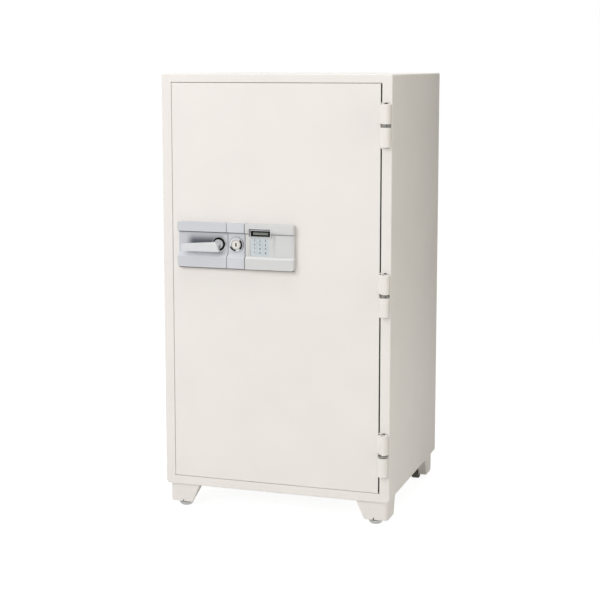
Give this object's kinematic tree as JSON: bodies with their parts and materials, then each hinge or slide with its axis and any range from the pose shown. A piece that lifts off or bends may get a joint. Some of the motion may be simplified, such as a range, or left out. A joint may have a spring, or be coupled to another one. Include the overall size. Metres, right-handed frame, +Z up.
{
  "type": "fireproof safe",
  "caption": "Free-standing fire safe with a stepped door on barrel hinges, lever handle, key lock, keypad panel, sliding bolt work, shelves, levelling pads and rollers.",
  "frame": {"origin": "on the floor, at the middle of the box from the lever's face to the back", "axes": "+X right seen from the front, +Y to the back, +Z up"},
  "size_m": [0.76, 0.692, 1.425],
  "materials": {
    "paint": "semi-gloss powder coat",
    "inner_paint": "satin",
    "fireproof_fill": "matt mineral board",
    "seal": "matt",
    "steel": "zinc plated",
    "chrome": "polished",
    "silver_moulding": "silver satin paint",
    "lever_silver": "satin",
    "dark_plastic": "satin",
    "gloss_black": "gloss",
    "key_tint": "satin",
    "display_glass": "gloss",
    "board_green": "gloss",
    "roller_black": "satin"
  },
  "bodies": {
    "cabinet": {"outer_shell": "paint", "back_plate": "paint", "cabinet_fill": "fireproof_fill", "door_frame": "paint", "heat_seal": "seal", "inner_liner": "inner_paint", "shelves": "inner_paint", "shelf_clips": "steel", "hinge_pins": "steel", "hinge_washers": "steel", "lower_knuckles": "paint", "foot_front_left": "paint", "foot_front_right": "paint", "foot_rear_left": "paint", "foot_rear_right": "paint", "foot_bolts": "steel", "roller_axles": "steel"},
    "door": {"door_skin": "paint", "door_fill": "fireproof_fill", "door_liner": "inner_paint", "back_cover": "inner_paint", "cover_screws": "steel", "fixed_dogs": "steel", "upper_knuckles": "paint", "lever_escutcheon": "silver_moulding", "lock_escutcheon": "silver_moulding", "keypad_housing": "silver_moulding", "keypad_surround": "key_tint", "display_bezel": "gloss_black", "display_window": "display_glass", "battery_cover": "silver_moulding", "circuit_board": "board_green", "lever_rose": "chrome", "spindle_bush": "dark_plastic", "lock_cylinder": "chrome", "lock_case": "steel", "solenoid": "steel"},
    "lever": {"lever_handle": "lever_silver", "spindle": "steel"},
    "bolt_work": {"bolt_carriage": "steel", "live_bolts": "chrome"},
    "key_plug": {"key_plug": "chrome"},
    "plunger": {"plunger": "steel"},
    "roller_left": {"roller_left": "roller_black"},
    "roller_right": {"roller_right": "roller_black"},
    "leveller_left": {"leveller_left": "steel"},
    "leveller_right": {"leveller_right": "steel"},
    "key_1": {"key_1": "key_tint"},
    "key_2": {"key_2": "key_tint"},
    "key_3": {"key_3": "key_tint"},
    "key_4": {"key_4": "key_tint"},
    "key_5": {"key_5": "key_tint"},
    "key_6": {"key_6": "key_tint"},
    "key_7": {"key_7": "key_tint"},
    "key_8": {"key_8": "key_tint"},
    "key_9": {"key_9": "key_tint"},
    "key_10": {"key_10": "key_tint"},
    "key_11": {"key_11": "key_tint"},
    "key_12": {"key_12": "key_tint"}
  },
  "joints": [
    {"name": "door_swing", "type": "hinge", "parent": "cabinet", "child": "door", "pos_m": [0.362, -0.324, 0.752], "axis": [0, 0, 1], "range_deg": [0, 120]},
    {"name": "lever_turn", "type": "hinge", "parent": "door", "child": "lever", "pos_m": [-0.185, -0.332, 0.8855], "axis": [0, -1, 0], "range_deg": [0, 60]},
    {"name": "bolt_throw", "type": "slide", "parent": "door", "child": "bolt_work", "axis": [-1, 0, 0], "range_m": [0, 0.034]},
    {"name": "key_turn", "type": "hinge", "parent": "door", "child": "key_plug", "pos_m": [-0.127, -0.312, 0.8855], "axis": [0, -1, 0], "range_deg": [0, 90]},
    {"name": "latch_drop", "type": "slide", "parent": "door", "child": "plunger", "axis": [0, 0, -1], "range_m": [0, 0.01], "stiffness_N_per_m": 300, "springref_m": -0.003},
    {"name": "key_1_press", "type": "slide", "parent": "door", "child": "key_1", "axis": [0, 1, 0], "range_m": [0, 0.001], "stiffness_N_per_m": 800},
    {"name": "key_2_press", "type": "slide", "parent": "door", "child": "key_2", "axis": [0, 1, 0], "range_m": [0, 0.001], "stiffness_N_per_m": 800},
    {"name": "key_3_press", "type": "slide", "parent": "door", "child": "key_3", "axis": [0, 1, 0], "range_m": [0, 0.001], "stiffness_N_per_m": 800},
    {"name": "key_4_press", "type": "slide", "parent": "door", "child": "key_4", "axis": [0, 1, 0], "range_m": [0, 0.001], "stiffness_N_per_m": 800},
    {"name": "key_5_press", "type": "slide", "parent": "door", "child": "key_5", "axis": [0, 1, 0], "range_m": [0, 0.001], "stiffness_N_per_m": 800},
    {"name": "key_6_press", "type": "slide", "parent": "door", "child": "key_6", "axis": [0, 1, 0], "range_m": [0, 0.001], "stiffness_N_per_m": 800},
    {"name": "key_7_press", "type": "slide", "parent": "door", "child": "key_7", "axis": [0, 1, 0], "range_m": [0, 0.001], "stiffness_N_per_m": 800},
    {"name": "key_8_press", "type": "slide", "parent": "door", "child": "key_8", "axis": [0, 1, 0], "range_m": [0, 0.001], "stiffness_N_per_m": 800},
    {"name": "key_9_press", "type": "slide", "parent": "door", "child": "key_9", "axis": [0, 1, 0], "range_m": [0, 0.001], "stiffness_N_per_m": 800},
    {"name": "key_10_press", "type": "slide", "parent": "door", "child": "key_10", "axis": [0, 1, 0], "range_m": [0, 0.001], "stiffness_N_per_m": 800},
    {"name": "key_11_press", "type": "slide", "parent": "door", "child": "key_11", "axis": [0, 1, 0], "range_m": [0, 0.001], "stiffness_N_per_m": 800},
    {"name": "key_12_press", "type": "slide", "parent": "door", "child": "key_12", "axis": [0, 1, 0], "range_m": [0, 0.001], "stiffness_N_per_m": 800},
    {"name": "roller_left_spin", "type": "hinge", "parent": "cabinet", "child": "roller_left", "pos_m": [-0.33, 0.268, 0.025], "axis": [1, 0, 0], "continuous": true},
    {"name": "roller_right_spin", "type": "hinge", "parent": "cabinet", "child": "roller_right", "pos_m": [0.33, 0.268, 0.025], "axis": [1, 0, 0], "continuous": true},
    {"name": "leveller_left_turn", "type": "hinge", "parent": "cabinet", "child": "leveller_left", "pos_m": [-0.326, -0.27, 0.04], "axis": [0, 0, 1], "range_deg": [0, 1440]},
    {"name": "leveller_right_turn", "type": "hinge", "parent": "cabinet", "child": "leveller_right", "pos_m": [0.326, -0.27, 0.04], "axis": [0, 0, 1], "range_deg": [0, 1440]}
  ],
  "couplings": [
    {"joint": "bolt_throw", "follows": "lever_turn", "m_per_rad": 0.032468}
  ]
}
